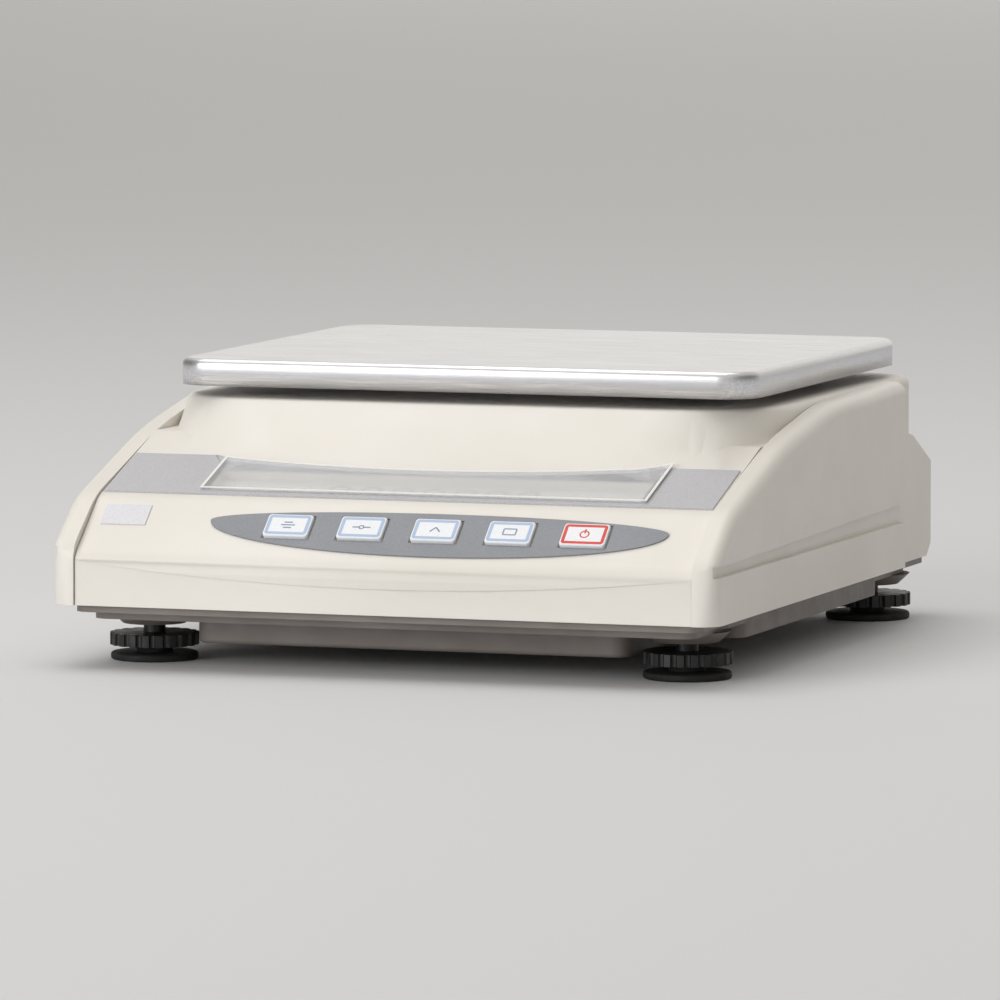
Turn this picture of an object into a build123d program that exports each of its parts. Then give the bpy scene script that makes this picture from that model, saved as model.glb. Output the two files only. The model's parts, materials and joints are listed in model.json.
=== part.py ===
"""Bench-top digital gram scale with a lift-off steel pan, five front keys and four levelling feet.

Frame: +X to the user's right, +Y to the back, +Z up, millimetres. The origin is on the table,
under the centre of the body. A moulded cover, two side cheeks and a rear housing close a die-cast
base. Inside, a bending-beam load cell stands on the base and carries a bracket; the bracket holds
the pan carrier above the deck and, on a stirrup around the beam, an eye for weighing below.
"""
import math
import os

from build123d import *

# ---------------------------------------------------------------- overall sizes
overall_width = 190.0
overall_depth = 218.0
overall_height = 80.0

# ---------------------------------------------------------------- base casting
rim_z = 17.2  # top of the base, where the cover stands
rim_side_setback = 5.5
rim_end_setback = 3.0
rim_thickness = 2.0
rim_corner_radius = 4.5
wing_inset = 9.0  # side of the casting from the body's side
wing_front_setback = 8.0
wing_rear_setback = 10.0
wing_bottom_z = 13.0
belly_bottom_z = 9.0
belly_front_setback = 52.0
belly_rear_setback = 38.0
tub_half_width = 62.0
tub_front_setback = 24.0
tub_rear_setback = 12.0
tub_bottom_z = 5.5
casting_wall = 2.5
tub_floor = 3.0
casting_edge_radius = 1.2

# ---------------------------------------------------------------- levelling feet
foot_x = 76.7
foot_front_setback = 32.0
foot_rear_setback = 18.0
foot_boss_radius = 12.0
foot_boss_tip_radius = 8.75
foot_boss_bottom_z = 10.0
stud_radius = 3.0
stud_clearance = 0.05
stud_top_z = 18.0
wheel_radius = 12.25
wheel_bottom_z = 4.0
wheel_thickness = 3.4
wheel_notches = 20
wheel_notch_radius = 0.9
pad_radius = 12.0
pad_thickness = 2.0
pad_edge_radius = 0.7
neck_radius = 5.0
pivot_radius = 2.0
pivot_clearance = 0.05
pivot_height = 2.4

# ---------------------------------------------------------------- cover
cover_wall = 2.5
cheek_thickness = 7.0
cheek_gap = 0.25
chin_break_z = 30.2  # where the key slope's plane meets the front face
chin_radius = 8.0
smile_middle_z = 24.4  # the crease across the chin
smile_end_z = 29.5
smile_depth = 0.7
key_slope_angle = 39.7
crease_setback = 18.3
crease_radius = 12.0
display_angle = 18.7
display_run = 46.0  # the display slope, partly under the deck
deck_z = 69.5
deck_rear_inset = 6.0
deck_corner_radius = 10.0
deck_edge_radius = 2.5
brow_corner_radius = 35.0
brow_low_z = 46.0  # the brow is given by its plan at two heights
brow_low_middle = 32.2
brow_low_side = 41.0
brow_top_middle = 60.5
brow_top_side = 61.0
screw_boss_radius = 4.0
screw_boss_x = 66.0
screw_boss_front_setback = 62.0
screw_boss_rear_setback = 30.0
case_screw_radius = 1.6
case_screw_head_radius = 3.0
case_screw_head_height = 1.8
case_screw_length = 16.0

# ---------------------------------------------------------------- cheeks
cheek_end_setback = 176.0  # the cheeks end this far behind the front
cheek_crest = [(0.0, 33.0), (17.0, 45.9), (66.0, 61.2), (108.0, 68.2)]  # its turns: setback and height
cheek_crest_radii = [8.0, 30.0, 200.0, 150.0]
cheek_top_z = 69.8
cheek_corner_radius = 6.0
cheek_edge_radius = 3.5
skirt_top_z = 30.0
grip_front_height = 3.0  # the finger groove above the skirt
grip_rear_height = 5.6
grip_depth = 1.6
peg_radius = 2.5
peg_clearance = 0.1
peg_length = 5.0
peg_z = 44.0
peg_front_setback = 50.0
peg_rear_setback = 160.0

# ---------------------------------------------------------------- rear housing
housing_side_inset = 4.0
housing_gap = 0.4
housing_clearance = 0.3  # to the cover inside it
housing_toe_z = 23.0
housing_toe_run = 7.0
housing_back_z = 43.0
housing_brow_z = 53.0
housing_brow_run = 21.0
housing_top_z = 57.0
housing_corner_radius = 3.5
port_window_width = 140.0
port_window_low_z = 21.0
port_window_high_z = 41.0

# ---------------------------------------------------------------- display
panel_thickness = 0.5
panel_edge_gap = 0.6
panel_low_edge = 3.2  # up the slope from the crease
window_left_x = -60.0
window_right_x = 68.0
window_low_edge = 5.4
window_brow_gap = 1.2
window_thickness = 0.7
lcd_low_edge = 6.2
lcd_height = 13.0
lcd_thickness = 2.8
lcd_inset = 2.0
board_thickness = 1.6
display_board_margin = 7.0
front_post_radius = 2.6
front_screw_radius = 1.1
front_screw_head_radius = 2.1
front_screw_head_height = 1.3

# ---------------------------------------------------------------- keys
key_count = 5
key_pitch = 21.1
key_row_x = 12.75
key_row_height = 13.8  # up the key slope from the front face's plane
key_width = 13.0
key_height = 8.2
key_corner_radius = 1.0
key_edge_radius = 0.4
key_proud = 0.9
key_gap = 0.25
key_flange = 1.3
key_flange_thickness = 1.0
key_travel = 0.6
key_stem_radius = 1.6
key_stem_depth = 5.0
key_rest_gap = 0.1
switch_size = 6.0
switch_height = 2.0
plunger_radius = 1.5
plunger_height = 0.9
crescent_half_width = 65.2
crescent_tip_height = 17.6
crescent_top_height = 20.6
crescent_low_height = 4.4
key_board_width = 122.0
key_board_height = 15.0
plate_x = -77.5
plate_width = 13.0
plate_height = 7.5
plate_up = 17.0
plate_thickness = 0.3

# ---------------------------------------------------------------- weighing pan and its carrier
pan_sheet = 0.9
pan_flange_height = 7.4
pan_corner_radius = 10.5
pan_edge_radius = 1.9
pan_side_inset = 11.0
pan_front_setback = 64.5
pan_rear_setback = 9.5
carrier_thickness = 4.0
carrier_deck_gap = 2.1
carrier_hub_radius = 18.0
carrier_arm_width = 16.0
carrier_arm_x = 62.0
carrier_arm_y = 50.0
carrier_pad_radius = 10.0
bumper_radius = 6.5
bumper_recess = 1.0
bumper_edge_radius = 0.8
carrier_screw_radius = 2.0
carrier_screw_head_radius = 3.6
carrier_screw_head_height = 2.2
carrier_screw_pitch = 10.0
carrier_screw_depth = 12.0

# ---------------------------------------------------------------- load cell and receiver
cell_length = 120.0
cell_width = 22.0
cell_height = 22.0
cell_bottom_z = 16.5
cell_hole_radius = 7.5
cell_hole_spacing = 24.0
cell_slot = 4.0
spacer_length = 30.0
bolt_radius = 3.0
bolt_head_radius = 5.0
bolt_head_height = 4.0
bolt_clearance = 0.05
bolt_pitch = 14.0
bolt_end_distance = 8.0
fixed_bolt_tip_z = 7.0
receiver_bolt_grip = 14.0
bracket_pad_height = 2.0
bracket_pad_length = 30.0
bracket_thickness = 4.0
bracket_width = 46.0
bracket_tail = 14.0  # behind the pan's centre
post_radius = 9.0
collar_inner_radius = 10.5
collar_outer_radius = 14.0
collar_lip_radius = 16.0
collar_lip_height = 1.0
stirrup_gap = 2.0
stirrup_thickness = 2.5
stirrup_depth = 12.0
stirrup_foot = 5.0
stirrup_bar_z = 13.4
stirrup_screw_radius = 1.2
stop_radius = 3.0
stop_gap = 0.8
stop_boss_radius = 6.0
stop_boss_height = 3.5
eye_centre_z = 9.8
eye_radius = 2.6
eye_wire_radius = 1.0
eye_shank_radius = 1.5
hook_hole_radius = 8.0
hatch_reach = 17.0
hatch_radius = 10.5
hatch_neck_radius = 5.0
hatch_thickness = 1.2
hatch_gap = 0.1
hatch_pin_radius = 2.0
hatch_clearance = 0.05
hatch_head_radius = 3.6
hatch_head_height = 1.2
hatch_pin_top_z = 8.0

# ---------------------------------------------------------------- electronics
board_left_x = 30.0
board_width = 50.0
board_front_setback = 76.0
board_length = 92.0
board_z = 18.0
standoff_radius = 3.0
board_hole_inset = 5.0
board_screw_radius = 1.2
board_screw_head_radius = 2.4
board_screw_head_height = 1.6
jack_x = 58.0
jack_width = 9.0
jack_height = 11.0
jack_length = 13.0
jack_bore_radius = 3.1
jack_bore_depth = 9.5
jack_pin_radius = 1.0
port_z = 31.0
serial_x = 18.0
serial_width = 31.0
serial_height = 12.5
serial_flange_thickness = 1.0
serial_shell_width = 17.0
serial_shell_height = 9.0
serial_shell_depth = 5.5
serial_body_depth = 10.0
serial_wall = 0.8
serial_pin_radius = 0.5
serial_pin_length = 4.8
serial_pin_pitch = 2.76
serial_row_pitch = 2.84
rating_x = -42.0
rating_width = 44.0
rating_height = 15.0
rating_thickness = 0.3
cable_radius = 1.5
cable_bend = 6.0
cable_exit_z = 30.0
ribbon_width = 16.0
ribbon_thickness = 0.6
ribbon_x = 44.0
ribbon_fall = 6.0
ribbon_landing = 8.0
cable_landing = 7.0
cable_exit_setback = 32.0
lead_landing = 12.0
can_radius = 4.0
can_height = 11.0
can_places = [(12.0, 24.0), (12.0, 34.0)]  # across and along the main board from its middle
board_layout = [  # blocks on the main board: across, along, width, length, height
    (-4.0, -6.0, 14.0, 14.0, 2.2),
    (-14.0, 14.0, 10.0, 7.0, 1.8),
    (9.0, -6.0, 5.0, 11.0, 3.5),
    (-14.0, -18.0, 8.0, 4.0, 1.6),
    (4.0, 12.0, 9.0, 6.0, 4.0),
    (-10.0, 32.0, 12.0, 9.0, 8.0),
]
level_x = -52.0
level_setback = 168.0
level_radius = 7.0
level_depth = 6.0
level_lens_thickness = 1.5
level_proud = 0.6

# ---------------------------------------------------------------- derived places
half_width = overall_width / 2
front = -overall_depth / 2
back = overall_depth / 2
cover_bottom = rim_z
cover_half = half_width - cheek_thickness - cheek_gap
crease_z = chin_break_z + crease_setback * math.tan(math.radians(key_slope_angle))
display_end_y = crease_setback + display_run * math.cos(math.radians(display_angle))
display_end_z = crease_z + display_run * math.sin(math.radians(display_angle))
key_plane = Plane((0, front, chin_break_z), x_dir=(1, 0, 0), z_dir=(
    0, -math.sin(math.radians(key_slope_angle)), math.cos(math.radians(key_slope_angle))))
display_plane = Plane((0, front + crease_setback, crease_z), x_dir=(1, 0, 0), z_dir=(
    0, -math.sin(math.radians(display_angle)), math.cos(math.radians(display_angle))))
key_places = [(key_row_x + (i - (key_count - 1) / 2) * key_pitch, key_row_height)
              for i in range(key_count)]
pan_half_x = half_width - pan_side_inset
pan_front = front + pan_front_setback
pan_back = back - pan_rear_setback
pan_centre_y = (pan_front + pan_back) / 2
pan_bottom_z = overall_height - pan_flange_height
pan_underside_z = overall_height - pan_sheet
carrier_bottom_z = deck_z + carrier_deck_gap
carrier_top_z = carrier_bottom_z + carrier_thickness
cell_front = pan_centre_y - cell_length / 2
cell_back = pan_centre_y + cell_length / 2
cell_top_z = cell_bottom_z + cell_height
tub_inner_z = tub_bottom_z + tub_floor
wing_inner_z = wing_bottom_z + casting_wall
belly_inner_z = belly_bottom_z + casting_wall
bracket_z = cell_top_z + bracket_pad_height
bracket_top_z = bracket_z + bracket_thickness
fixed_bolts = [(0, cell_back - bolt_end_distance), (0, cell_back - bolt_end_distance - bolt_pitch)]
receiver_bolt_places = [(0, cell_front + bolt_end_distance), (0, cell_front + bolt_end_distance + bolt_pitch)]
case_screw_rows = {wing_bottom_z: back - screw_boss_rear_setback,  # under face: place along Y
                   belly_bottom_z: front + screw_boss_front_setback}
case_screw_places = [(side * screw_boss_x, y) for side in (-1, 1) for y in case_screw_rows.values()]
foot_places = {
    "front_left": (-foot_x, front + foot_front_setback),
    "front_right": (foot_x, front + foot_front_setback),
    "rear_left": (-foot_x, back - foot_rear_setback),
    "rear_right": (foot_x, back - foot_rear_setback),
}
lcd_width = window_right_x - window_left_x - 2 * lcd_inset
window_x = (window_left_x + window_right_x) / 2
display_board_z = -cover_wall - lcd_thickness
display_board_y = lcd_low_edge + lcd_height / 2
display_posts = [(window_x + side * (lcd_width / 2 + display_board_margin / 2), display_board_y)
                 for side in (-1, 1)]
key_board_z = -key_stem_depth - key_travel - key_rest_gap - switch_height - plunger_height
key_posts = [(key_row_x + side * (key_board_width / 2 - display_board_margin / 2), key_row_height)
             for side in (-1, 1)]
main_board_x = board_left_x + board_width / 2
main_board_y = front + board_front_setback + board_length / 2
board_top_z = board_z + board_thickness
standoff_places = [(main_board_x + sx * (board_width / 2 - board_hole_inset),
                    main_board_y + sy * (board_length / 2 - board_hole_inset))
                   for sx in (-1, 1) for sy in (-1, 1)]
housing_front = front + cheek_end_setback + housing_gap
housing_half = half_width - housing_side_inset
deck_back = back - deck_rear_inset
hook_place = (0, pan_centre_y)
stirrup_inner = cell_width / 2 + stirrup_gap
stirrup_screws_at = [(side * (stirrup_inner + stirrup_thickness + stirrup_foot / 2), pan_centre_y)
                     for side in (-1, 1)]
carrier_screws_at = [(side * carrier_screw_pitch / 2, pan_centre_y) for side in (-1, 1)]
bumper_places = [(sx * carrier_arm_x, pan_centre_y + sy * carrier_arm_y) for sx in (-1, 1) for sy in (-1, 1)]
carrier_arm_reach = math.hypot(carrier_arm_x, carrier_arm_y)
carrier_arm_angle = math.degrees(math.atan2(carrier_arm_y, carrier_arm_x))
hatch_pivot = (hatch_reach, pan_centre_y)
plane_z = Plane.XY.offset

os.makedirs("parts", exist_ok=True)


def keep(piece, name):
    """Label a finished piece and write it to its own file."""
    piece.part.label = name
    export_step(piece.part, f"parts/{name}.step")


def rounded_box(x_low, x_high, y_low, y_high, z_low, z_high, corner):
    """A block with rounded upright corners."""
    with BuildPart() as block:
        with BuildSketch(plane_z(z_low)):
            with Locations(((x_low + x_high) / 2, (y_low + y_high) / 2)):
                RectangleRounded(x_high - x_low, y_high - y_low, corner)
        extrude(amount=z_high - z_low)
    return block.part


def deck_block(inset, grow=0.0):
    """The deck and brow: a loft between two plans, drawn in by inset or let out by grow."""
    shift = inset - grow
    with BuildPart() as block:
        for z, middle, side in ((brow_low_z - shift, brow_low_middle, brow_low_side),
                                (deck_z - shift, brow_top_middle, brow_top_side)):
            run = cover_half - shift
            rear = deck_back - shift
            with BuildSketch(plane_z(z)) as plan:
                with BuildLine():
                    ThreePointArc((-run, front + side + shift), (0, front + middle + shift),
                                  (run, front + side + shift))
                    Polyline((run, front + side + shift), (run, rear), (-run, rear),
                             (-run, front + side + shift))
                make_face()
                fillet(plan.vertices().group_by(Axis.Y)[0], brow_corner_radius - shift)
                fillet(plan.vertices().group_by(Axis.Y)[-1], deck_corner_radius - shift)
        loft(ruled=True)
    return block.part


def fascia_block(inset):
    """Chin, key slope and display slope carried back under the deck, drawn in by inset."""
    low_z = cover_bottom - 2 * inset
    with BuildPart() as block:
        with BuildSketch(Plane.YZ.offset(inset - cover_half)):
            with BuildLine():
                FilletPolyline((deck_back, low_z), (front, low_z), (front, chin_break_z),
                               (front + crease_setback, crease_z),
                               (front + display_end_y, display_end_z), (deck_back, display_end_z),
                               radius=[0, chin_radius, crease_radius, 0])
                Line((deck_back, display_end_z), (deck_back, low_z))
            make_face()
            if inset:
                offset(amount=-inset, mode=Mode.REPLACE)
        extrude(amount=2 * (cover_half - inset))
        rear_corners = block.edges().filter_by(Axis.Z).group_by(Axis.Y)[-1]
        fillet(rear_corners, deck_corner_radius - inset)
    return block.part


# ---------------------------------------------------------------- base casting
with BuildPart() as base:
    with BuildSketch(plane_z(rim_z - rim_thickness)):
        RectangleRounded(overall_width - 2 * rim_side_setback, overall_depth - 2 * rim_end_setback,
                         rim_corner_radius)
    extrude(amount=rim_thickness)
    wing_half = half_width - wing_inset
    add(rounded_box(-wing_half, wing_half, front + wing_front_setback, back - wing_rear_setback,
                    wing_bottom_z, rim_z - rim_thickness, rim_corner_radius))
    add(rounded_box(-wing_half, wing_half, front + belly_front_setback, back - belly_rear_setback,
                    belly_bottom_z, wing_bottom_z, rim_corner_radius))
    add(rounded_box(-tub_half_width, tub_half_width, front + tub_front_setback, back - tub_rear_setback,
                    tub_bottom_z, wing_bottom_z, rim_corner_radius))
    fillet(base.faces().sort_by(Axis.Z)[0].edges(), casting_edge_radius)
    for x, y in foot_places.values():
        with BuildSketch(plane_z(foot_boss_bottom_z)):
            with Locations((x, y)):
                Circle(foot_boss_tip_radius)
        with BuildSketch(plane_z(wing_bottom_z)):
            with Locations((x, y)):
                Circle(foot_boss_radius)
        loft()
    inner = casting_wall
    add(rounded_box(inner - wing_half, wing_half - inner, front + wing_front_setback + inner,
                    back - wing_rear_setback - inner, wing_inner_z, rim_z, rim_corner_radius - inner),
        mode=Mode.SUBTRACT)
    add(rounded_box(inner - wing_half, wing_half - inner, front + belly_front_setback + inner,
                    back - belly_rear_setback - inner, belly_inner_z, rim_z, rim_corner_radius - inner),
        mode=Mode.SUBTRACT)
    add(rounded_box(inner - tub_half_width, tub_half_width - inner, front + tub_front_setback + inner,
                    back - tub_rear_setback - inner, tub_inner_z, rim_z, rim_corner_radius - inner),
        mode=Mode.SUBTRACT)
    with BuildSketch(plane_z(wing_inner_z)):
        with Locations(*foot_places.values()):
            Circle(foot_boss_tip_radius)
    extrude(amount=rim_z - wing_inner_z)
    with Locations(*[(x, y, 0) for x, y in foot_places.values()]):
        Cylinder(stud_radius + stud_clearance, rim_z, align=(Align.CENTER, Align.CENTER, Align.MIN),
                 mode=Mode.SUBTRACT)
    with BuildSketch(plane_z(tub_inner_z)):
        with Locations((0, cell_front + bolt_end_distance)):
            Circle(stop_boss_radius)
    extrude(amount=stop_boss_height)
    with BuildSketch(plane_z(tub_bottom_z)):
        with Locations(hook_place):
            Circle(hook_hole_radius)
    extrude(amount=tub_floor, mode=Mode.SUBTRACT)
    with BuildSketch(plane_z(tub_bottom_z)):
        with Locations(hatch_pivot):
            Circle(hatch_pin_radius)
    extrude(amount=hatch_pin_top_z - tub_bottom_z, mode=Mode.SUBTRACT)
    with BuildSketch(plane_z(fixed_bolt_tip_z)):
        with Locations(*fixed_bolts):
            Circle(bolt_radius)
    extrude(amount=tub_inner_z - fixed_bolt_tip_z, mode=Mode.SUBTRACT)
    with BuildSketch(plane_z(tub_inner_z)):
        with Locations((0, cell_front + bolt_end_distance)):
            Circle(stop_radius)
    extrude(amount=stop_boss_height, mode=Mode.SUBTRACT)
    for under_z, y in case_screw_rows.items():
        with BuildSketch(plane_z(under_z)):
            with Locations((-screw_boss_x, y), (screw_boss_x, y)):
                Circle(screw_boss_radius)
        extrude(amount=rim_z - under_z)
    with BuildSketch(plane_z(tub_bottom_z)):
        with Locations(*case_screw_places):
            Circle(case_screw_radius)
    extrude(amount=rim_z, mode=Mode.SUBTRACT)
    with BuildSketch(plane_z(tub_inner_z)):
        with Locations(*standoff_places):
            Circle(standoff_radius)
    extrude(amount=board_z - tub_inner_z)
    with BuildSketch(plane_z(belly_inner_z)):
        with Locations(*standoff_places):
            Circle(board_screw_radius)
    extrude(amount=board_z - belly_inner_z, mode=Mode.SUBTRACT)
keep(base, "base")

# ---------------------------------------------------------------- levelling feet
for corner, (x, y) in foot_places.items():
    with BuildPart() as foot_wheel:
        with BuildSketch(plane_z(wheel_bottom_z)):
            with Locations((x, y)):
                Circle(wheel_radius)
                with PolarLocations(wheel_radius, wheel_notches):
                    Circle(wheel_notch_radius, mode=Mode.SUBTRACT)
        extrude(amount=wheel_thickness)
        with BuildSketch(plane_z(wheel_bottom_z + wheel_thickness)):
            with Locations((x, y)):
                Circle(stud_radius)
        extrude(amount=stud_top_z - wheel_bottom_z - wheel_thickness)
        with BuildSketch(plane_z(wheel_bottom_z)):
            with Locations((x, y)):
                Circle(pivot_radius + pivot_clearance)
        extrude(amount=pivot_height + pivot_clearance, mode=Mode.SUBTRACT)
    keep(foot_wheel, f"foot_wheel_{corner}")

    with BuildPart() as foot_pad:
        with BuildSketch():
            with Locations((x, y)):
                Circle(pad_radius)
        extrude(amount=pad_thickness)
        fillet(foot_pad.edges(), pad_edge_radius)
        with BuildSketch(plane_z(pad_thickness)):
            with Locations((x, y)):
                Circle(neck_radius)
        extrude(amount=wheel_bottom_z - pad_thickness)
        with BuildSketch(plane_z(wheel_bottom_z)):
            with Locations((x, y)):
                Circle(pivot_radius)
        extrude(amount=pivot_height)
    keep(foot_pad, f"foot_pad_{corner}")

# ---------------------------------------------------------------- cover
cover_deck = deck_block(0)
cover_shape = cover_deck + fascia_block(0)
cover_hollow = deck_block(cover_wall) + fascia_block(cover_wall)
boss_reach = deck_block(cover_wall / 2) + fascia_block(cover_wall / 2)
with BuildPart() as screw_bosses:  # they end inside the deck or the slope above them
    with BuildSketch(plane_z(cover_bottom)):
        with Locations(*case_screw_places):
            Circle(screw_boss_radius)
    extrude(amount=deck_z - cover_bottom)
    add(boss_reach, mode=Mode.INTERSECT)
with BuildPart() as cover:
    add(cover_shape)
    deck_top = cover.faces().filter_by(Axis.Z).sort_by(Axis.Z)[-1]
    fillet(deck_top.edges(), deck_edge_radius)
    add(cover_hollow, mode=Mode.SUBTRACT)
    with BuildSketch(plane_z(deck_z - cover_wall)):
        with Locations((0, pan_centre_y)):
            Circle(collar_outer_radius)
    extrude(amount=cover_wall, mode=Mode.SUBTRACT)
    add(screw_bosses.part)
    with BuildSketch(plane_z(cover_bottom)):
        with Locations(*case_screw_places):
            Circle(case_screw_radius)
    extrude(amount=case_screw_length, mode=Mode.SUBTRACT)
    with BuildSketch(key_plane):
        with Locations(*key_places):
            Rectangle(key_width + 2 * key_gap, key_height + 2 * key_gap)
    extrude(amount=-cover_wall * 2, mode=Mode.SUBTRACT)
    with BuildSketch(key_plane.offset(-cover_wall)):
        with Locations(*key_posts):
            Circle(front_post_radius)
    extrude(amount=key_board_z + cover_wall)
    with BuildSketch(key_plane.offset(-cover_wall)):
        with Locations(*key_posts):
            Circle(front_screw_radius)
    extrude(amount=key_board_z + cover_wall, mode=Mode.SUBTRACT)
    with BuildSketch(display_plane):
        with Locations((window_x, display_board_y)):
            Rectangle(lcd_width, lcd_height)
    extrude(amount=-cover_wall * 2, mode=Mode.SUBTRACT)
    with BuildSketch(display_plane.offset(-cover_wall)):
        with Locations(*display_posts):
            Circle(front_post_radius)
    extrude(amount=-lcd_thickness)
    with BuildSketch(display_plane.offset(-cover_wall)):
        with Locations(*display_posts):
            Circle(front_screw_radius)
    extrude(amount=-lcd_thickness, mode=Mode.SUBTRACT)
    with BuildSketch(plane_z(deck_z - level_depth)):
        with Locations((level_x, front + level_setback)):
            Circle(level_radius + cover_wall / 2)
    extrude(amount=level_depth - cover_wall)
    with BuildSketch(plane_z(deck_z - level_depth + cover_wall / 2)):
        with Locations((level_x, front + level_setback)):
            Circle(level_radius)
    extrude(amount=level_depth, mode=Mode.SUBTRACT)
    with BuildSketch(Plane.XZ.offset(-back)):
        with Locations((0, (port_window_low_z + port_window_high_z) / 2)):
            Rectangle(port_window_width, port_window_high_z - port_window_low_z)
    extrude(amount=deck_rear_inset + cover_wall, mode=Mode.SUBTRACT)
    peg_places = [(front + peg_front_setback, peg_z), (front + peg_rear_setback, peg_z)]
    with BuildSketch(Plane.YZ.offset(-cover_half)):
        with Locations(*peg_places):
            Circle(peg_radius + peg_clearance)
    extrude(amount=2 * cover_half, mode=Mode.SUBTRACT)
    with BuildSketch(Plane.XZ.offset(-front - smile_depth)):
        with BuildLine():
            ThreePointArc((-cover_half, smile_end_z), (0, smile_middle_z), (cover_half, smile_end_z))
            Polyline((cover_half, smile_end_z), (cover_half, cover_bottom), (-cover_half, cover_bottom),
                     (-cover_half, smile_end_z))
        make_face()
    extrude(amount=2 * smile_depth, mode=Mode.SUBTRACT)
keep(cover, "cover")

# ---------------------------------------------------------------- cheeks
cheek_end_y = front + cheek_end_setback
with BuildPart() as cheek:
    with BuildSketch(Plane.YZ.offset(half_width - cheek_thickness)):
        with BuildLine():
            FilletPolyline((front, cover_bottom), *[(front + setback, z) for setback, z in cheek_crest],
                           (cheek_end_y, cheek_top_z), radius=cheek_crest_radii)
            Polyline((cheek_end_y, cheek_top_z), (cheek_end_y, cover_bottom), (front, cover_bottom))
        make_face()
    extrude(amount=cheek_thickness)
    outer_rim = cheek.faces().sort_by(Axis.X)[-1].edges()
    crest = outer_rim - outer_rim.group_by(Axis.Z)[0] - outer_rim.group_by(Axis.Y)[-1]
    fillet(crest, cheek_edge_radius)
    add(rounded_box(-half_width, half_width, front, back, 0, overall_height, cheek_corner_radius),
        mode=Mode.INTERSECT)
    with BuildSketch(Plane.YZ.offset(half_width)):
        Polygon((front, skirt_top_z), (cheek_end_y, skirt_top_z),
                (cheek_end_y, skirt_top_z + grip_rear_height), (front, skirt_top_z + grip_front_height),
                align=None)
    extrude(amount=-grip_depth, mode=Mode.SUBTRACT)
    with BuildSketch(Plane.YZ.offset(half_width - cheek_thickness)):
        with Locations(*peg_places):
            Circle(peg_radius)
    extrude(amount=-peg_length)
keep(cheek, "right_cheek")
with BuildPart() as other_cheek:
    add(cheek.part.mirror(Plane.YZ))
keep(other_cheek, "left_cheek")

# ---------------------------------------------------------------- rear housing
with BuildPart() as rear_housing:
    with BuildSketch(Plane.YZ.offset(-housing_half)):
        Polygon((housing_front, cover_bottom), (back - housing_toe_run, cover_bottom), (back, housing_toe_z),
                (back, housing_back_z), (back - housing_brow_run, housing_brow_z),
                (housing_front, housing_top_z), align=None)
    extrude(amount=2 * housing_half)
    add(rounded_box(-housing_half, housing_half, front, back, 0, overall_height, housing_corner_radius),
        mode=Mode.INTERSECT)
    inner_half = cover_half + housing_clearance
    add(rounded_box(-inner_half, inner_half, front, deck_back + housing_clearance, 0, overall_height,
                    deck_corner_radius + housing_clearance), mode=Mode.SUBTRACT)
    with BuildSketch(Plane.XZ.offset(-back)):
        with Locations((jack_x, port_z)):
            Rectangle(jack_width, jack_height)
        with Locations((serial_x, port_z)):
            Rectangle(serial_width, serial_height)
    extrude(amount=deck_rear_inset + cover_wall, mode=Mode.SUBTRACT)
    with BuildSketch(Plane.XZ.offset(-back)):
        with Locations((rating_x, port_z)):
            Rectangle(rating_width, rating_height)
    extrude(amount=rating_thickness, mode=Mode.SUBTRACT)
keep(rear_housing, "rear_housing")

with BuildPart() as rating_plate:
    with BuildSketch(Plane.XZ.offset(-back)):
        with Locations((rating_x, port_z)):
            Rectangle(rating_width, rating_height)
    extrude(amount=rating_thickness)
keep(rating_plate, "rating_plate")

with BuildPart() as dc_jack:
    jack_face = Plane((jack_x, back, port_z), x_dir=(-1, 0, 0), z_dir=(0, 1, 0))
    with BuildSketch(jack_face):
        Rectangle(jack_width, jack_height)
    extrude(amount=-jack_length)
    with BuildSketch(jack_face):
        Circle(jack_bore_radius)
        Circle(jack_pin_radius, mode=Mode.SUBTRACT)
    extrude(amount=-jack_bore_depth, mode=Mode.SUBTRACT)
    top_edges = dc_jack.faces().sort_by(Axis.Y)[-1].outer_wire().edges()
    fillet(top_edges, key_edge_radius)
keep(dc_jack, "dc_jack")

with BuildPart() as serial_port:
    port_face = Plane((serial_x, back - serial_flange_thickness, port_z), x_dir=(-1, 0, 0), z_dir=(0, 1, 0))
    with BuildSketch(port_face):
        RectangleRounded(serial_width, serial_height, serial_wall)
        with Locations((serial_width / 2 - serial_wall * 4, 0), (serial_wall * 4 - serial_width / 2, 0)):
            Circle(serial_wall * 2, mode=Mode.SUBTRACT)
    extrude(amount=-serial_flange_thickness)
    with BuildSketch(port_face.offset(-serial_flange_thickness)):
        Rectangle(serial_shell_width, serial_shell_height)
    extrude(amount=-serial_body_depth)
    with BuildSketch(port_face):
        Rectangle(serial_shell_width - 2 * serial_wall, serial_shell_height - 2 * serial_wall)
    extrude(amount=-serial_shell_depth, mode=Mode.SUBTRACT)
keep(serial_port, "serial_port")

with BuildPart() as serial_pins:
    with BuildSketch(port_face.offset(-serial_shell_depth)):
        for count, row in ((5, 0.5), (4, -0.5)):
            with Locations((0, row * serial_row_pitch)):
                with GridLocations(serial_pin_pitch, 1, count, 1):
                    Circle(serial_pin_radius)
    extrude(amount=serial_pin_length)
keep(serial_pins, "serial_pins")

# ---------------------------------------------------------------- display
brow_clear = deck_block(0, panel_edge_gap)
brow_window = deck_block(0, window_brow_gap)
with BuildPart() as display_panel:
    with BuildSketch(display_plane):
        with Locations((0, panel_low_edge)):
            Rectangle(2 * (cover_half - panel_edge_gap), display_run, align=(Align.CENTER, Align.MIN))
    extrude(amount=panel_thickness)
    add(brow_clear, mode=Mode.SUBTRACT)
    with BuildSketch(display_plane):
        with Locations((window_x, display_board_y)):
            Rectangle(lcd_width, lcd_height)
    extrude(amount=panel_thickness, mode=Mode.SUBTRACT)
keep(display_panel, "display_panel")

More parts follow.
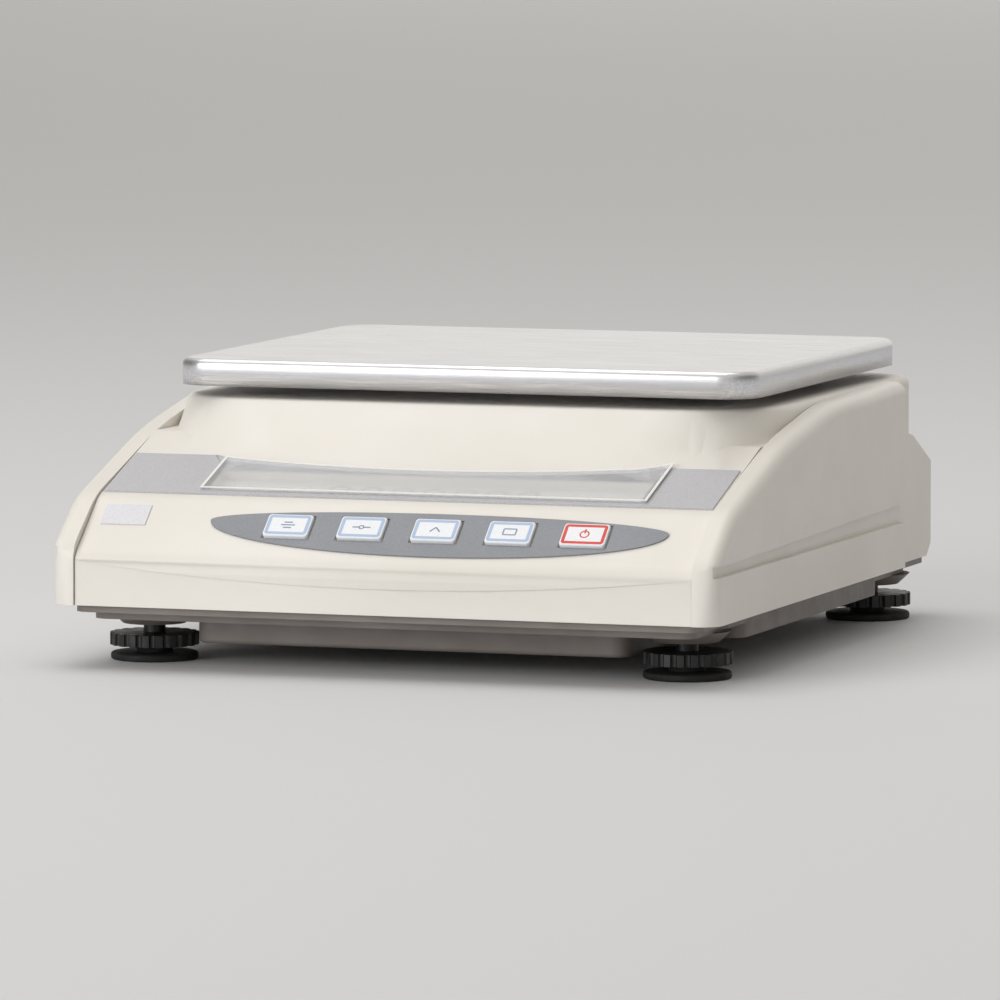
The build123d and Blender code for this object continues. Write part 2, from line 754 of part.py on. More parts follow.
with BuildPart() as display_window:
    with BuildSketch(display_plane.offset(panel_thickness)):
        with Locations((window_left_x, window_low_edge)):
            Rectangle(window_right_x - window_left_x, display_run, align=(Align.MIN, Align.MIN))
    extrude(amount=window_thickness)
    add(brow_window, mode=Mode.SUBTRACT)
keep(display_window, "display_window")

with BuildPart() as lcd:
    with BuildSketch(display_plane.offset(display_board_z)):
        with Locations((window_x, display_board_y)):
            Rectangle(lcd_width, lcd_height)
    extrude(amount=lcd_thickness)
keep(lcd, "lcd")

with BuildPart() as display_board:
    with BuildSketch(display_plane.offset(display_board_z - board_thickness)):
        with Locations((window_x, display_board_y)):
            Rectangle(lcd_width + 2 * display_board_margin, lcd_height)
        with Locations(*display_posts):
            Circle(front_screw_radius, mode=Mode.SUBTRACT)
    extrude(amount=board_thickness)
keep(display_board, "display_board")

# ---------------------------------------------------------------- keys
with BuildPart() as key_panel:
    with BuildSketch(key_plane):
        with BuildLine():
            left_tip = (key_row_x - crescent_half_width, crescent_tip_height)
            right_tip = (key_row_x + crescent_half_width, crescent_tip_height)
            ThreePointArc(left_tip, (key_row_x, crescent_low_height), right_tip)
            ThreePointArc(right_tip, (key_row_x, crescent_top_height), left_tip)
        make_face()
        with Locations(*key_places):
            Rectangle(key_width + 2 * key_gap, key_height + 2 * key_gap, mode=Mode.SUBTRACT)
    extrude(amount=panel_thickness)
keep(key_panel, "key_panel")

for number, place in enumerate(key_places, start=1):
    with BuildPart() as key:
        flange_top = -cover_wall - key_rest_gap
        with BuildSketch(key_plane.offset(flange_top)):
            with Locations(place):
                Rectangle(key_width + 2 * key_flange, key_height + 2 * key_flange)
        extrude(amount=-key_flange_thickness)
        with BuildSketch(key_plane.offset(flange_top)):
            with Locations(place):
                RectangleRounded(key_width, key_height, key_corner_radius)
        extrude(amount=panel_thickness + key_proud - flange_top)
        crown = key.faces().filter_by(key_plane).sort_by(Axis.Z)[-1]
        fillet(crown.edges(), key_edge_radius)
        with BuildSketch(key_plane.offset(flange_top - key_flange_thickness)):
            with Locations(place):
                Circle(key_stem_radius)
        extrude(amount=flange_top - key_flange_thickness + key_stem_depth, dir=-key_plane.z_dir)
    keep(key, f"key_{number}")

with BuildPart() as key_switches:
    with BuildSketch(key_plane.offset(key_board_z)):
        with Locations(*key_places):
            Rectangle(switch_size, switch_size)
    extrude(amount=switch_height)
    with BuildSketch(key_plane.offset(key_board_z + switch_height)):
        with Locations(*key_places):
            Circle(plunger_radius)
    extrude(amount=plunger_height)
keep(key_switches, "key_switches")

with BuildPart() as key_board:
    with BuildSketch(key_plane.offset(key_board_z - board_thickness)):
        with Locations((key_row_x, key_row_height)):
            Rectangle(key_board_width, key_board_height)
        with Locations(*key_posts):
            Circle(front_screw_radius, mode=Mode.SUBTRACT)
    extrude(amount=board_thickness)
keep(key_board, "key_board")

with BuildPart() as front_board_screws:
    for plane, places in ((key_plane.offset(key_board_z - board_thickness), key_posts),
                          (display_plane.offset(display_board_z - board_thickness), display_posts)):
        with BuildSketch(plane):
            with Locations(*places):
                Circle(front_screw_head_radius)
        extrude(amount=-front_screw_head_height)
        with BuildSketch(plane):
            with Locations(*places):
                Circle(front_screw_radius)
        extrude(amount=board_thickness + lcd_thickness)
keep(front_board_screws, "front_board_screws")

with BuildPart() as capacity_plate:
    with BuildSketch(key_plane):
        with Locations((plate_x, plate_up)):
            Rectangle(plate_width, plate_height)
    extrude(amount=plate_thickness)
keep(capacity_plate, "capacity_plate")

# ---------------------------------------------------------------- electronics
with BuildPart() as main_board:
    with BuildSketch(plane_z(board_z)):
        with Locations((main_board_x, main_board_y)):
            Rectangle(board_width, board_length)
        with Locations(*standoff_places):
            Circle(board_screw_radius, mode=Mode.SUBTRACT)
    extrude(amount=board_thickness)
keep(main_board, "main_board")

with BuildPart() as board_parts:
    for across, along, wide, long, tall in board_layout:
        with BuildSketch(plane_z(board_top_z)):
            with Locations((main_board_x + across, main_board_y + along)):
                Rectangle(wide, long)
        extrude(amount=tall)
    with BuildSketch(plane_z(board_top_z)):
        with Locations(*[(main_board_x + across, main_board_y + along) for across, along in can_places]):
            Circle(can_radius)
    extrude(amount=can_height)
keep(board_parts, "board_parts")

with BuildPart() as board_screws:
    with BuildSketch(plane_z(board_top_z)):
        with Locations(*standoff_places):
            Circle(board_screw_head_radius)
    extrude(amount=board_screw_head_height)
    with BuildSketch(plane_z(belly_inner_z)):
        with Locations(*standoff_places):
            Circle(board_screw_radius)
    extrude(amount=board_top_z - belly_inner_z)
keep(board_screws, "board_screws")

with BuildPart() as case_screws:
    for under_z, y in case_screw_rows.items():
        with BuildSketch(plane_z(under_z)):
            with Locations((-screw_boss_x, y), (screw_boss_x, y)):
                Circle(case_screw_head_radius)
        extrude(amount=-case_screw_head_height)
        with BuildSketch(plane_z(under_z)):
            with Locations((-screw_boss_x, y), (screw_boss_x, y)):
                Circle(case_screw_radius)
        extrude(amount=cover_bottom + case_screw_length - under_z)
keep(case_screws, "case_screws")

with BuildPart() as display_ribbon:
    ribbon_start = display_plane.offset(display_board_z - board_thickness).from_local_coords(
        Vector(0, display_board_y, 0))
    ribbon_end = Vector(0, front + board_front_setback + ribbon_landing, board_top_z)
    with BuildSketch(Plane.YZ.offset(ribbon_x)):
        with BuildLine() as ribbon_path:
            FilletPolyline((ribbon_start.Y + ribbon_thickness, ribbon_start.Z - ribbon_thickness),
                           (ribbon_start.Y + ribbon_fall, ribbon_start.Z - 2 * ribbon_fall),
                           (ribbon_end.Y, board_top_z + 2 * ribbon_fall), (ribbon_end.Y, board_top_z),
                           radius=cable_bend)
        trace(line_width=ribbon_thickness)
    extrude(amount=ribbon_width)
keep(display_ribbon, "display_ribbon")

with BuildPart() as cell_cable:
    cable_x = board_left_x + cable_landing
    cable_y = cell_front + cable_exit_setback
    with BuildLine() as cable_route:
        FilletPolyline((cell_width / 2, cable_y, cable_exit_z), (cable_x, cable_y, cable_exit_z),
                       (cable_x, cable_y, board_top_z), radius=cable_bend)
    with BuildSketch(Plane((cell_width / 2, cable_y, cable_exit_z), z_dir=(1, 0, 0))):
        Circle(cable_radius)
    sweep()
keep(cell_cable, "cell_cable")

with BuildPart() as power_lead:
    lead_start = (jack_x, back - jack_length, port_z)
    lead_end_y = front + board_front_setback + board_length - lead_landing
    with BuildLine() as lead_route:
        FilletPolyline(lead_start, (jack_x, lead_end_y, port_z), (jack_x, lead_end_y, board_top_z),
                       radius=cable_bend)
    with BuildSketch(Plane(lead_start, z_dir=(0, -1, 0))):
        Circle(cable_radius)
    sweep()
keep(power_lead, "power_lead")

# ---------------------------------------------------------------- load cell
with BuildPart() as load_cell_spacer:
    with BuildSketch(plane_z(tub_inner_z)):
        with Locations((0, cell_back - spacer_length / 2)):
            Rectangle(cell_width, spacer_length)
        with Locations(*fixed_bolts):
            Circle(bolt_radius + bolt_clearance, mode=Mode.SUBTRACT)
    extrude(amount=cell_bottom_z - tub_inner_z)
keep(load_cell_spacer, "load_cell_spacer")

with BuildPart() as load_cell:
    cell_mid_z = cell_bottom_z + cell_height / 2
    with BuildSketch(plane_z(cell_bottom_z)):
        with Locations((0, pan_centre_y)):
            Rectangle(cell_width, cell_length)
        with Locations(*fixed_bolts, *receiver_bolt_places):
            Circle(bolt_radius + bolt_clearance, mode=Mode.SUBTRACT)
    extrude(amount=cell_height)
    with BuildSketch(Plane.YZ.offset(-cell_width / 2)):
        with Locations((pan_centre_y - cell_hole_spacing / 2, cell_mid_z),
                       (pan_centre_y + cell_hole_spacing / 2, cell_mid_z)):
            Circle(cell_hole_radius)
        with Locations((pan_centre_y, cell_mid_z)):
            Rectangle(cell_hole_spacing, cell_slot)
    extrude(amount=cell_width, mode=Mode.SUBTRACT)
keep(load_cell, "load_cell")

with BuildPart() as load_cell_bolts:
    with BuildSketch(plane_z(cell_top_z)):
        with Locations(*fixed_bolts):
            Circle(bolt_head_radius)
    extrude(amount=bolt_head_height)
    with BuildSketch(plane_z(fixed_bolt_tip_z)):
        with Locations(*fixed_bolts):
            Circle(bolt_radius)
    extrude(amount=cell_top_z - fixed_bolt_tip_z)
keep(load_cell_bolts, "load_cell_bolts")

with BuildPart() as overload_stop:
    with BuildSketch(plane_z(tub_inner_z)):
        with Locations((0, cell_front + bolt_end_distance)):
            Circle(stop_radius)
    extrude(amount=cell_bottom_z - stop_gap - tub_inner_z)
keep(overload_stop, "overload_stop")

# ---------------------------------------------------------------- receiver
with BuildPart() as receiver_bracket:
    with BuildSketch(plane_z(bracket_z)):
        with Locations((0, cell_front)):
            Rectangle(bracket_width, pan_centre_y + bracket_tail - cell_front,
                      align=(Align.CENTER, Align.MIN))
    extrude(amount=bracket_thickness)
    with BuildSketch(plane_z(cell_top_z)):
        with Locations((0, cell_front + bracket_pad_length / 2)):
            Rectangle(cell_width, bracket_pad_length)
    extrude(amount=bracket_pad_height)
    with BuildSketch(plane_z(bracket_top_z)):
        with Locations((0, pan_centre_y)):
            Circle(post_radius)
    extrude(amount=carrier_bottom_z - bracket_top_z)
    with BuildSketch(plane_z(cell_top_z)):
        with Locations(*receiver_bolt_places):
            Circle(bolt_radius)
    extrude(amount=bracket_top_z - cell_top_z, mode=Mode.SUBTRACT)
    with BuildSketch(plane_z(bracket_z)):
        with Locations(*stirrup_screws_at):
            Circle(stirrup_screw_radius)
    extrude(amount=bracket_thickness, mode=Mode.SUBTRACT)
    with BuildSketch(plane_z(carrier_bottom_z)):
        with Locations(*carrier_screws_at):
            Circle(carrier_screw_radius)
    extrude(amount=-carrier_screw_depth, mode=Mode.SUBTRACT)
keep(receiver_bracket, "receiver_bracket")

with BuildPart() as receiver_bolts:
    with BuildSketch(plane_z(bracket_top_z)):
        with Locations(*receiver_bolt_places):
            Circle(bolt_head_radius)
    extrude(amount=bolt_head_height)
    with BuildSketch(plane_z(bracket_top_z)):
        with Locations(*receiver_bolt_places):
            Circle(bolt_radius)
    extrude(amount=cell_top_z - receiver_bolt_grip - bracket_top_z)
keep(receiver_bolts, "receiver_bolts")

with BuildPart() as hook_stirrup:
    strap = stirrup_inner + stirrup_thickness
    with BuildSketch(Plane.XZ.offset(-hook_place[1] - stirrup_depth / 2)):
        with BuildLine():
            Polyline((stirrup_inner, bracket_z), (stirrup_inner, stirrup_bar_z + stirrup_thickness),
                     (-stirrup_inner, stirrup_bar_z + stirrup_thickness), (-stirrup_inner, bracket_z),
                     (-strap - stirrup_foot, bracket_z),
                     (-strap - stirrup_foot, bracket_z - stirrup_thickness),
                     (-strap, bracket_z - stirrup_thickness), (-strap, stirrup_bar_z),
                     (strap, stirrup_bar_z), (strap, bracket_z - stirrup_thickness),
                     (strap + stirrup_foot, bracket_z - stirrup_thickness), (strap + stirrup_foot, bracket_z),
                     (stirrup_inner, bracket_z))
        make_face()
    extrude(amount=stirrup_depth)
    with BuildSketch(plane_z(bracket_z - stirrup_thickness)):
        with Locations(*stirrup_screws_at):
            Circle(stirrup_screw_radius)
    extrude(amount=stirrup_thickness, mode=Mode.SUBTRACT)
    with BuildSketch(plane_z(stirrup_bar_z)):
        with Locations(hook_place):
            Circle(eye_shank_radius)
    extrude(amount=stirrup_thickness, mode=Mode.SUBTRACT)
keep(hook_stirrup, "hook_stirrup")

with BuildPart() as stirrup_screws:
    with BuildSketch(plane_z(bracket_z - stirrup_thickness)):
        with Locations(*stirrup_screws_at):
            Circle(2 * stirrup_screw_radius)
    extrude(amount=-stirrup_screw_radius)
    with BuildSketch(plane_z(bracket_z - stirrup_thickness)):
        with Locations(*stirrup_screws_at):
            Circle(stirrup_screw_radius)
    extrude(amount=stirrup_thickness + bracket_thickness)
keep(stirrup_screws, "stirrup_screws")

with BuildPart() as weighing_eye:
    with Locations(Plane((0, pan_centre_y, eye_centre_z), z_dir=(0, 1, 0))):
        Torus(eye_radius, eye_wire_radius)
    with BuildSketch(plane_z(eye_centre_z + eye_radius)):
        with Locations(hook_place):
            Circle(eye_shank_radius)
    extrude(amount=stirrup_bar_z + stirrup_thickness - eye_centre_z - eye_radius)
keep(weighing_eye, "weighing_eye")

with BuildPart() as pan_carrier:
    with BuildSketch(plane_z(carrier_bottom_z)):
        with Locations((0, pan_centre_y)):
            Circle(carrier_hub_radius)
            for angle in (carrier_arm_angle, -carrier_arm_angle):
                with Locations(Rotation(0, 0, angle)):
                    Rectangle(2 * carrier_arm_reach, carrier_arm_width)
        with Locations(*bumper_places):
            Circle(carrier_pad_radius)
        with Locations(*carrier_screws_at):
            Circle(carrier_screw_radius, mode=Mode.SUBTRACT)
    extrude(amount=carrier_thickness)
    with BuildSketch(plane_z(carrier_top_z)):
        with Locations(*bumper_places):
            Circle(bumper_radius)
    extrude(amount=-bumper_recess, mode=Mode.SUBTRACT)
keep(pan_carrier, "pan_carrier")

with BuildPart() as carrier_screws:
    with BuildSketch(plane_z(carrier_top_z)):
        with Locations(*carrier_screws_at):
            Circle(carrier_screw_head_radius)
    extrude(amount=carrier_screw_head_height)
    with BuildSketch(plane_z(carrier_top_z)):
        with Locations(*carrier_screws_at):
            Circle(carrier_screw_radius)
    extrude(amount=-carrier_thickness - carrier_screw_depth)
keep(carrier_screws, "carrier_screws")

with BuildPart() as pan_bumpers:
    with BuildSketch(plane_z(carrier_top_z - bumper_recess)):
        with Locations(*bumper_places):
            Circle(bumper_radius)
    extrude(amount=pan_underside_z - carrier_top_z + bumper_recess)
    fillet(pan_bumpers.edges().group_by(Axis.Z)[-1], bumper_edge_radius)
keep(pan_bumpers, "pan_bumpers")

with BuildPart() as dust_collar:
    with BuildSketch(plane_z(deck_z - cover_wall)):
        with Locations((0, pan_centre_y)):
            Circle(collar_outer_radius)
            Circle(collar_inner_radius, mode=Mode.SUBTRACT)
    extrude(amount=cover_wall)
    with BuildSketch(plane_z(deck_z)):
        with Locations((0, pan_centre_y)):
            Circle(collar_lip_radius)
            Circle(collar_inner_radius, mode=Mode.SUBTRACT)
    extrude(amount=collar_lip_height)
keep(dust_collar, "dust_collar")

with BuildPart() as level_vial:
    level_floor_z = deck_z - level_depth + cover_wall / 2
    with BuildSketch(plane_z(level_floor_z)):
        with Locations((level_x, front + level_setback)):
            Circle(level_radius)
    extrude(amount=deck_z + level_proud - level_lens_thickness - level_floor_z)
keep(level_vial, "level_vial")

with BuildPart() as level_lens:
    with BuildSketch(plane_z(deck_z + level_proud - level_lens_thickness)):
        with Locations((level_x, front + level_setback)):
            Circle(level_radius)
    extrude(amount=level_lens_thickness)
keep(level_lens, "level_lens")

# ---------------------------------------------------------------- weighing pan
with BuildPart() as weighing_pan:
    for inset, top in ((0, overall_height), (pan_sheet, pan_underside_z)):
        with BuildPart(mode=Mode.PRIVATE) as pan_block:
            add(rounded_box(inset - pan_half_x, pan_half_x - inset, pan_front + inset, pan_back - inset,
                            pan_bottom_z, top, pan_corner_radius - inset))
            fillet(pan_block.faces().sort_by(Axis.Z)[-1].edges(), pan_edge_radius - inset)
        add(pan_block.part, mode=Mode.SUBTRACT if inset else Mode.ADD)
keep(weighing_pan, "weighing_pan")

# ---------------------------------------------------------------- weigh-below hatch, swung open
with BuildPart() as hook_hatch:
    hatch_z = tub_bottom_z - hatch_gap - hatch_thickness
    with BuildSketch(plane_z(hatch_z)):
        with BuildLine():
            Polyline((hatch_reach - hatch_neck_radius, pan_centre_y),
                     (hatch_reach - hatch_neck_radius, pan_centre_y - hatch_reach),
                     (hatch_reach + hatch_neck_radius, pan_centre_y - hatch_reach),
                     (hatch_reach + hatch_neck_radius, pan_centre_y))
            ThreePointArc((hatch_reach + hatch_neck_radius, pan_centre_y),
                          (hatch_reach, pan_centre_y + hatch_neck_radius),
                          (hatch_reach - hatch_neck_radius, pan_centre_y))
        make_face()
        with Locations((hatch_reach, pan_centre_y - hatch_reach)):
            Circle(hatch_radius)
        with Locations(hatch_pivot):
            Circle(hatch_pin_radius + hatch_clearance, mode=Mode.SUBTRACT)
    extrude(amount=hatch_thickness)
keep(hook_hatch, "hook_hatch")

with BuildPart() as hatch_screw:
    with BuildSketch(plane_z(hatch_z - hatch_gap)):
        with Locations(hatch_pivot):
            Circle(hatch_head_radius)
    extrude(amount=-hatch_head_height)
    with BuildSketch(plane_z(hatch_z - hatch_gap)):
        with Locations(hatch_pivot):
            Circle(hatch_pin_radius)
    extrude(amount=hatch_pin_top_z - hatch_z + hatch_gap)
keep(hatch_screw, "hatch_screw")
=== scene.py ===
"""Finishes of the digital gram scale, laid out as an add-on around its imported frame.

Metres, +X to the user's right, +Y to the back, +Z up, the origin on the table under the body.
"""
import json
import math

import bmesh
import bpy
from bpy.props import FloatProperty, FloatVectorProperty, IntProperty, PointerProperty
from mathutils import Matrix, Vector

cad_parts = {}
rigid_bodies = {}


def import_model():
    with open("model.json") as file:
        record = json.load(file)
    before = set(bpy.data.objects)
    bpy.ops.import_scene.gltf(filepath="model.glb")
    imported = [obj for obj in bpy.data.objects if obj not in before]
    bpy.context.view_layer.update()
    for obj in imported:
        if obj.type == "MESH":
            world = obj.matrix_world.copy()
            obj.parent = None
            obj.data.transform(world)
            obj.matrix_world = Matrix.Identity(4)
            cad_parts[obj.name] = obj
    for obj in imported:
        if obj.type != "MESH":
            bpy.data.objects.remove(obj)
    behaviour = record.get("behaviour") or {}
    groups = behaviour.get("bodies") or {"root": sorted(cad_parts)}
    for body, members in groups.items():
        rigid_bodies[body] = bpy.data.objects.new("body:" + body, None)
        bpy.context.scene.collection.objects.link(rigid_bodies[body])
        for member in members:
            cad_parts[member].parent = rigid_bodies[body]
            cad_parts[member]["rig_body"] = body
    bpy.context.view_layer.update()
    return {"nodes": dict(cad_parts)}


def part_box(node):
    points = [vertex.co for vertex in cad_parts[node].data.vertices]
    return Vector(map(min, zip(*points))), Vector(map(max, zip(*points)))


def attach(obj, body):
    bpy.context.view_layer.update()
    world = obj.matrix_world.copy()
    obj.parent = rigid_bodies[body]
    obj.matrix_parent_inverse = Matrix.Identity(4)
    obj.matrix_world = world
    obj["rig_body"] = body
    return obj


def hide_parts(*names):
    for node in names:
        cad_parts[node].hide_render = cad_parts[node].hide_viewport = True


bl_info = {
    "name": "Gram scale finishes",
    "version": (1, 0, 0),
    "blender": (4, 5, 0),
    "location": "View3D > Sidebar > Gram scale",
    "description": "Adds the visible pieces and materials of a bench-top gram scale",
    "category": "Object",
}

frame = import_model()
MM = 0.001
KEY_SLOPE = math.radians(39.7)  # how steeply the cover rises under the keys
DISPLAY_SLOPE = math.radians(18.7)  # and under the display
KEYS = ["key_1", "key_2", "key_3", "key_4", "key_5"]
CORNERS = ["front_left", "front_right", "rear_left", "rear_right"]
FRAME_SIZE = (12 * MM, 7.2 * MM)  # the printed line round each key, outside
FRAME_CORNER = 0.9 * MM
INK = 0.04 * MM  # how far a printed line stands off its surface
WELD = 0.002 * MM  # corners nearer than this are one corner
SAME_LEVEL = 0.02 * MM  # corners this near the outermost one lie on the same face
CORNER = math.radians(40)  # only edges that turn more than this are rounded
FLAT = math.radians(0.5)  # faces that turn less than this are one face
FLOOR_HALF = 6.0  # metres from the middle of the floor to its edge
LOOK_AT = (0, -9 * MM, 40 * MM)  # what the camera looks at
# Each soft light's name, place in metres, width in metres and power in watts.
LIGHTS = (
    ("key_light", (-1.0, -1.6, 0.55), 1.2, 13.0),
    ("front_light", (-1.1, -3.0, 0.35), 1.8, 12.0),
    ("top_light", (-0.3, 0.1, 1.4), 1.1, 6.0),
    ("back_light", (-0.4, 5.6, 1.4), 4.0, 14.0),
)


# ---------------------------------------------------------------- colours and nodes
def srgb(code, alpha=1.0):
    """A hex colour turned to linear RGBA."""
    channels = [int(code[i:i + 2], 16) / 255 for i in (1, 3, 5)]
    return tuple(c / 12.92 if c <= 0.04045 else ((c + 0.055) / 1.055) ** 2.4 for c in channels) + (alpha,)


def linear(colour):
    """A hex code or a colour property as linear RGBA."""
    return srgb(colour) if isinstance(colour, str) else tuple(colour)


def add_node(tree, kind, values=None, links=None, **settings):
    """Add a node with its settings, its sockets' values and the links into it."""
    made = tree.nodes.new(kind)
    for name, value in settings.items():
        setattr(made, name, value)
    for socket, value in (values or {}).items():
        made.inputs[socket].default_value = value
    for socket, source in (links or {}).items():
        tree.links.new(source, made.inputs[socket])
    return made


def new_material(name, values):
    """A material with one Principled shader; its constants go straight on the sockets."""
    material = bpy.data.materials.new(name)
    material.use_nodes = True
    tree = material.node_tree
    tree.nodes.clear()
    shader = add_node(tree, "ShaderNodeBsdfPrincipled", values)
    add_node(tree, "ShaderNodeOutputMaterial", links={"Surface": shader.outputs[0]})
    return material, tree, shader


def grain(tree, spacing, stretch=(1, 1, 1), detail=2.0):
    """Noise whose lumps are spacing metres apart, stretched along an axis by a mapping."""
    place = add_node(tree, "ShaderNodeTexCoord")
    turned = add_node(tree, "ShaderNodeMapping", {"Scale": stretch}, {"Vector": place.outputs["Object"]})
    return add_node(tree, "ShaderNodeTexNoise", {"Scale": 1 / spacing, "Detail": detail},
                    {"Vector": turned.outputs[0]})


def vary(tree, source, low, high):
    """Turn a pattern's middle half into the range low to high."""
    return add_node(tree, "ShaderNodeMapRange",
                    {"From Min": 0.3, "From Max": 0.7, "To Min": low, "To Max": high},
                    {"Value": source.outputs[0]}).outputs[0]


def tint(tree, shader, source, first, second):
    """Colour the shader between two colours by a pattern."""
    ramp = add_node(tree, "ShaderNodeValToRGB", links={"Fac": source.outputs[0]})
    ramp.color_ramp.elements[0].position = 0.3
    ramp.color_ramp.elements[1].position = 0.7
    ramp.color_ramp.elements[0].color = linear(first)
    ramp.color_ramp.elements[1].color = linear(second)
    tree.links.new(ramp.outputs[0], shader.inputs["Base Color"])


def emboss(tree, shader, source, depth, strength=1.0):
    """Bump the shader's normal by a pattern, depth metres deep."""
    bump = add_node(tree, "ShaderNodeBump", {"Strength": strength, "Distance": depth},
                    {"Height": source.outputs[0]})
    tree.links.new(bump.outputs[0], shader.inputs["Normal"])


# ---------------------------------------------------------------- materials
def moulded_abs(name, light, dark):
    """ABS from a spark-eroded mould: matt, slightly warm, with a fine even grain.

    The real grain is about 0.15 mm; it is drawn at 0.5 mm so that it shows."""
    material, tree, shader = new_material(name, {"IOR": 1.54})
    tint(tree, shader, grain(tree, 60 * MM), light, dark)
    tree.links.new(vary(tree, grain(tree, 9 * MM), 0.36, 0.50), shader.inputs["Roughness"])
    emboss(tree, shader, grain(tree, 0.5 * MM), 0.03 * MM)
    return material


def printed_film(name, light, dark, roughness=0.34):
    """Back-printed polyester film: satin, with a faint metallic speckle in the ink."""
    material, tree, shader = new_material(name, {"IOR": 1.57})
    tint(tree, shader, grain(tree, 0.6 * MM), light, dark)
    tree.links.new(vary(tree, grain(tree, 14 * MM), roughness - 0.05, roughness + 0.06),
                   shader.inputs["Roughness"])
    emboss(tree, shader, grain(tree, 1.2 * MM), 0.01 * MM)
    return material


def brushed_stainless(name, light, dark, along=(0.02, 1, 1), low=0.24, high=0.40):
    """Stainless sheet brushed one way: long fine scratches that blur what it mirrors.

    The real scratches are about 0.05 mm apart; they are drawn at 0.35 mm."""
    material, tree, shader = new_material(name, {"Metallic": 1.0})
    streaks = grain(tree, 0.35 * MM, along, 3.0)
    tint(tree, shader, streaks, light, dark)
    tree.links.new(vary(tree, streaks, low, high), shader.inputs["Roughness"])
    emboss(tree, shader, streaks, 0.006 * MM)
    return material


def cast_paint(name, light, dark):
    """Painted aluminium die casting: a low orange-peel skin over a slightly pitted wall."""
    material, tree, shader = new_material(name, {"IOR": 1.5})
    tint(tree, shader, grain(tree, 18 * MM), light, dark)
    tree.links.new(vary(tree, grain(tree, 4 * MM), 0.42, 0.58), shader.inputs["Roughness"])
    emboss(tree, shader, grain(tree, 1.4 * MM), 0.05 * MM)
    return material


def machined_metal(name, light, dark, rough=0.32, along=(1, 0.1, 1)):
    """Milled or plated metal: fine tool lines and a soft satin shine."""
    material, tree, shader = new_material(name, {"Metallic": 1.0})
    lines = grain(tree, 0.6 * MM, along)
    tint(tree, shader, lines, light, dark)
    tree.links.new(vary(tree, lines, rough - 0.08, rough + 0.1), shader.inputs["Roughness"])
    emboss(tree, shader, lines, 0.008 * MM)
    return material


def plain_moulding(name, light, dark, roughness=0.72):
    """Rubber or filled plastic from a plain mould: matt, a little blotchy, dusty in places.

    Rubber keeps the high roughness; nylon, PBT, epoxy and vinyl shine more."""
    material, tree, shader = new_material(name, {"IOR": 1.52})
    tint(tree, shader, grain(tree, 5 * MM), light, dark)
    tree.links.new(vary(tree, grain(tree, 3 * MM), roughness - 0.08, roughness + 0.12),
                   shader.inputs["Roughness"])
    emboss(tree, shader, grain(tree, 0.7 * MM), 0.03 * MM)
    return material


def solder_mask(name):
    """Circuit board: green lacquer over copper tracks on a 2.54 mm grid."""
    material, tree, shader = new_material(name, {"Roughness": 0.3, "IOR": 1.5})
    place = add_node(tree, "ShaderNodeTexCoord")
    tracks = add_node(tree, "ShaderNodeTexVoronoi", {"Scale": 1 / (2.54 * MM)},
                      {"Vector": place.outputs["Object"]}, distance="CHEBYCHEV", feature="F1")
    tint(tree, shader, tracks, "#0F4A2A", "#1B6B3C")
    emboss(tree, shader, tracks, 0.03 * MM)
    return material


def clear_acrylic(name, colour, alpha):
    """Thin acrylic cover: mostly see-through, with a clean gloss on top."""
    material, tree, shader = new_material(name, {"Base Color": srgb(colour), "IOR": 1.49, "Alpha": alpha})
    tree.links.new(vary(tree, grain(tree, 11 * MM), 0.08, 0.14), shader.inputs["Roughness"])
    return material


def ink(name, colour, roughness=0.4):
    """Screen-printed ink, or a painted highlight laid on like it: a thin, even, slightly rough layer."""
    material, tree, shader = new_material(name, {"Base Color": linear(colour), "IOR": 1.5})
    tree.links.new(vary(tree, grain(tree, 2 * MM), roughness - 0.05, roughness + 0.08),
                   shader.inputs["Roughness"])
    return material


# ---------------------------------------------------------------- geometry helpers
def finished(name, shape, body, material, sharp=35.0, replaces=()):
    """Turn a bmesh into a smooth-shaded piece on a body."""
    mesh = bpy.data.meshes.new(name)
    shape.to_mesh(mesh)
    shape.free()
    mesh.shade_smooth()
    mesh.set_sharp_from_angle(angle=math.radians(sharp))
    mesh.materials.append(material)
    piece = bpy.data.objects.new(name, mesh)
    bpy.context.scene.collection.objects.link(piece)
    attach(piece, body)
    if replaces:
        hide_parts(*replaces)
    return piece


def body_of(node):
    """The body that a CAD node belongs to."""
    return frame["nodes"][node]["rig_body"]


def merged(node):
    """A CAD node's mesh with its loose triangles joined and its flat faces made whole."""
    shape = bmesh.new()
    shape.from_mesh(frame["nodes"][node].data)
    bmesh.ops.remove_doubles(shape, verts=shape.verts, dist=WELD)
    bmesh.ops.dissolve_limit(shape, angle_limit=FLAT, verts=shape.verts, edges=shape.edges,
                             delimit={"NORMAL"})
    return shape


def softened(node, material, width, segments=3):
    """A copy of a CAD node with its edges rounded, standing for that node."""
    piece = finished(f"{node}_finished", merged(node), body_of(node), material, replaces=[node])
    if width:
        edges = piece.modifiers.new("rounded_edges", "BEVEL")
        edges.width = width
        edges.segments = segments
        edges.limit_method = "ANGLE"
        edges.angle_limit = CORNER
        edges.harden_normals = True
    return piece


def paint(nodes, material):
    """Give CAD nodes a finished material."""
    for name in nodes:
        mesh = frame["nodes"][name].data
        mesh.materials.clear()
        mesh.materials.append(material)


def uphill(slope):
    """The direction that climbs a slope which faces the user."""
    return Vector((0, math.cos(slope), math.sin(slope)))


def outward(slope):
    """The direction that stands out of such a slope."""
    return Vector((0, -math.sin(slope), math.cos(slope)))


